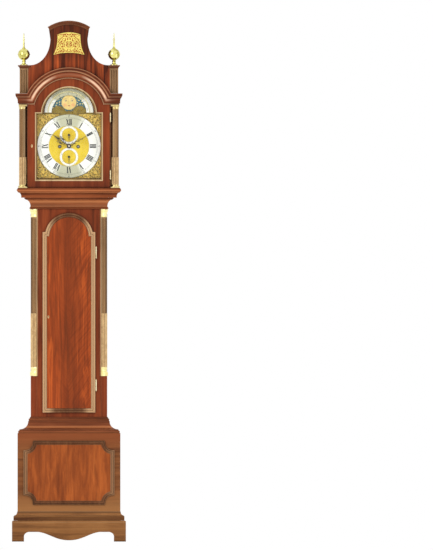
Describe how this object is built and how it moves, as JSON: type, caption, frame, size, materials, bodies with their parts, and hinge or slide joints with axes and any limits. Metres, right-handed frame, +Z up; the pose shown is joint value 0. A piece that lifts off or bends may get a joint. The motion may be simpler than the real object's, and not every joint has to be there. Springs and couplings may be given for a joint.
{
  "type": "longcase clock",
  "caption": "Tall mahogany longcase clock with pagoda hood, arched brass moon dial, columned trunk with arched door, panelled base, weights and pendulum.",
  "frame": {"origin": "on the floor at the middle of the case's footprint", "axes": "+Z up, +Y towards the wall behind, -Y is the front, +X to the right seen from the front"},
  "size_m": [0.532, 0.27, 2.433],
  "materials": {
    "mahogany": "polished, vertical grain",
    "flame_mahogany": "polished crotch-figured veneer",
    "dark_mahogany": "polished, dark",
    "oak": "unpolished carcase timber",
    "case_brass": "polished",
    "movement_brass": "brushed, lacquered",
    "dial_brass": "matted and gilt",
    "silvered_brass": "silvered, satin",
    "bell_metal": "turned bright",
    "blued_steel": "blued",
    "steel": "polished",
    "moon_paint": "painted sky with stars and two moons",
    "glass": "clear",
    "gut": "natural gut line"
  },
  "bodies": {
    "case": {"bracket_skirting": "mahogany", "base_carcase": "flame_mahogany", "base_cornice": "mahogany", "backboard": "oak", "trunk_side_left": "mahogany", "trunk_side_right": "mahogany", "trunk_front": "mahogany", "trunk_column_left": "dark_mahogany", "trunk_column_right": "dark_mahogany", "throat_moulding": "mahogany", "trunk_hinge_top": "case_brass", "trunk_hinge_bottom": "case_brass", "seatboard": "oak", "front_plate": "movement_brass", "back_plate": "movement_brass", "bell_stand": "steel", "bell": "bell_metal", "dial_plate": "dial_brass", "chapter_ring": "silvered_brass", "lunar_ring": "silvered_brass", "going_line": "gut", "strike_line": "gut"},
    "trunk_door": {"trunk_door": "flame_mahogany"},
    "hood": {"hood_base": "mahogany", "hood_side_left": "mahogany", "hood_side_right": "mahogany", "hood_front": "dark_mahogany", "arch_cornice": "mahogany", "bell_top": "dark_mahogany", "crest_moulding": "mahogany", "sound_fret": "case_brass", "finial_left": "case_brass", "finial_right": "case_brass", "hood_column_left": "dark_mahogany", "hood_column_right": "dark_mahogany", "hood_hinge_top": "case_brass", "hood_hinge_bottom": "case_brass"},
    "hood_door": {"hood_door": "mahogany", "hood_door_glass": "glass"},
    "minute_hand": {"minute_hand": "blued_steel"},
    "hour_hand": {"hour_hand": "blued_steel"},
    "date_hand": {"date_hand": "blued_steel"},
    "moon_disc": {"moon_disc": "moon_paint"},
    "escape_arbor": {"escape_wheel": "movement_brass", "seconds_hand": "blued_steel"},
    "third_arbor": {"third_wheel": "movement_brass"},
    "centre_arbor": {"centre_wheel": "movement_brass"},
    "going_great_wheel": {"going_great_wheel": "movement_brass"},
    "going_barrel": {"going_barrel": "movement_brass"},
    "going_weight": {"going_weight": "movement_brass"},
    "pendulum": {"pendulum_rod": "steel", "pendulum_bob": "movement_brass"},
    "anchor": {"anchor": "steel"},
    "fly": {"fly": "steel"},
    "hoop_wheel": {"hoop_wheel": "movement_brass"},
    "pin_wheel": {"pin_wheel": "movement_brass"},
    "strike_great_wheel": {"strike_great_wheel": "movement_brass"},
    "strike_barrel": {"strike_barrel": "movement_brass"},
    "strike_weight": {"strike_weight": "movement_brass"},
    "hammer": {"hammer": "steel"}
  },
  "joints": [
    {"name": "case_door_hinge", "type": "hinge", "parent": "case", "child": "trunk_door", "pos_m": [0.1268, -0.0545, 1.04], "axis": [0, 0, 1], "range_deg": [0, 105]},
    {"name": "hood_door_hinge", "type": "hinge", "parent": "hood", "child": "hood_door", "pos_m": [0.1936, -0.1055, 1.847], "axis": [0, 0, 1], "range_deg": [0, 105]},
    {"name": "hood_slide", "type": "slide", "parent": "case", "child": "hood", "axis": [0, -1, 0], "range_m": [0, 0.3]},
    {"name": "minute_spin", "type": "hinge", "parent": "case", "child": "minute_hand", "pos_m": [0, -0.0855, 1.847], "axis": [0, 1, 0], "continuous": true},
    {"name": "hour_spin", "type": "hinge", "parent": "case", "child": "hour_hand", "pos_m": [0, -0.0815, 1.847], "axis": [0, 1, 0], "continuous": true},
    {"name": "date_spin", "type": "hinge", "parent": "case", "child": "date_hand", "pos_m": [0, -0.075, 1.7966], "axis": [0, 1, 0], "continuous": true},
    {"name": "moon_spin", "type": "hinge", "parent": "case", "child": "moon_disc", "pos_m": [0, -0.0654, 2.003], "axis": [0, 1, 0], "continuous": true},
    {"name": "seconds_spin", "type": "hinge", "parent": "case", "child": "escape_arbor", "pos_m": [0, 0.016, 1.8987], "axis": [0, 1, 0], "continuous": true},
    {"name": "third_spin", "type": "hinge", "parent": "case", "child": "third_arbor", "pos_m": [0.016, 0.006, 1.8775], "axis": [0, 1, 0], "continuous": true},
    {"name": "centre_spin", "type": "hinge", "parent": "case", "child": "centre_arbor", "pos_m": [0, 0.006, 1.847], "axis": [0, 1, 0], "continuous": true},
    {"name": "going_great_spin", "type": "hinge", "parent": "case", "child": "going_great_wheel", "pos_m": [0.043, -0.0175, 1.8445], "axis": [0, 1, 0], "continuous": true},
    {"name": "going_weight_run", "type": "slide", "parent": "case", "child": "going_weight", "axis": [0, 0, 1], "range_m": [0, 1.12], "deforming": ["going_line"]},
    {"name": "going_barrel_spin", "type": "hinge", "parent": "case", "child": "going_barrel", "pos_m": [0.043, 0.006, 1.8445], "axis": [0, 1, 0], "range_deg": [-6000, 6000]},
    {"name": "pendulum_swing", "type": "hinge", "parent": "case", "child": "pendulum", "pos_m": [0, 0.062, 1.9284], "axis": [0, 1, 0], "range_deg": [-3, 3]},
    {"name": "anchor_swing", "type": "hinge", "parent": "case", "child": "anchor", "pos_m": [0, 0.016, 1.9284], "axis": [0, 1, 0], "range_deg": [-3, 3]},
    {"name": "strike_fly_spin", "type": "hinge", "parent": "case", "child": "fly", "pos_m": [-0.0375, 0.006, 1.9253], "axis": [0, 1, 0], "continuous": true},
    {"name": "hoop_spin", "type": "hinge", "parent": "case", "child": "hoop_wheel", "pos_m": [-0.049, 0.006, 1.9097], "axis": [0, 1, 0], "continuous": true},
    {"name": "pin_spin", "type": "hinge", "parent": "case", "child": "pin_wheel", "pos_m": [-0.033, 0.006, 1.888], "axis": [0, 1, 0], "continuous": true},
    {"name": "strike_great_spin", "type": "hinge", "parent": "case", "child": "strike_great_wheel", "pos_m": [-0.043, -0.0175, 1.8445], "axis": [0, 1, 0], "continuous": true},
    {"name": "strike_weight_run", "type": "slide", "parent": "case", "child": "strike_weight", "axis": [0, 0, 1], "range_m": [0, 1.12], "deforming": ["strike_line"]},
    {"name": "strike_barrel_spin", "type": "hinge", "parent": "case", "child": "strike_barrel", "pos_m": [-0.043, 0.006, 1.8445], "axis": [0, 1, 0], "range_deg": [-6000, 6000]},
    {"name": "strike_hammer_lift", "type": "hinge", "parent": "case", "child": "hammer", "pos_m": [-0.06, 0.005, 1.888], "axis": [0, -1, 0], "range_deg": [0, 10], "stiffness_Nm_per_rad": 0.15, "springref_deg": -8.59}
  ],
  "couplings": [
    {"joint": "hour_spin", "follows": "minute_spin", "ratio": 0.083333},
    {"joint": "date_spin", "follows": "minute_spin", "ratio": 0.0013441},
    {"joint": "moon_spin", "follows": "minute_spin", "ratio": 0.0007055},
    {"joint": "third_spin", "follows": "seconds_spin", "ratio": -0.125},
    {"joint": "centre_spin", "follows": "seconds_spin", "ratio": 0.016667},
    {"joint": "going_great_spin", "follows": "seconds_spin", "ratio": -0.0013889},
    {"joint": "anchor_swing", "follows": "pendulum_swing", "ratio": 1},
    {"joint": "going_barrel_spin", "follows": "going_weight_run", "rad_per_m": -85.47},
    {"joint": "strike_barrel_spin", "follows": "strike_weight_run", "rad_per_m": 85.47},
    {"joint": "hoop_spin", "follows": "strike_fly_spin", "ratio": -0.125},
    {"joint": "pin_spin", "follows": "strike_fly_spin", "ratio": 0.015625},
    {"joint": "strike_great_spin", "follows": "strike_fly_spin", "ratio": -0.0015625}
  ]
}
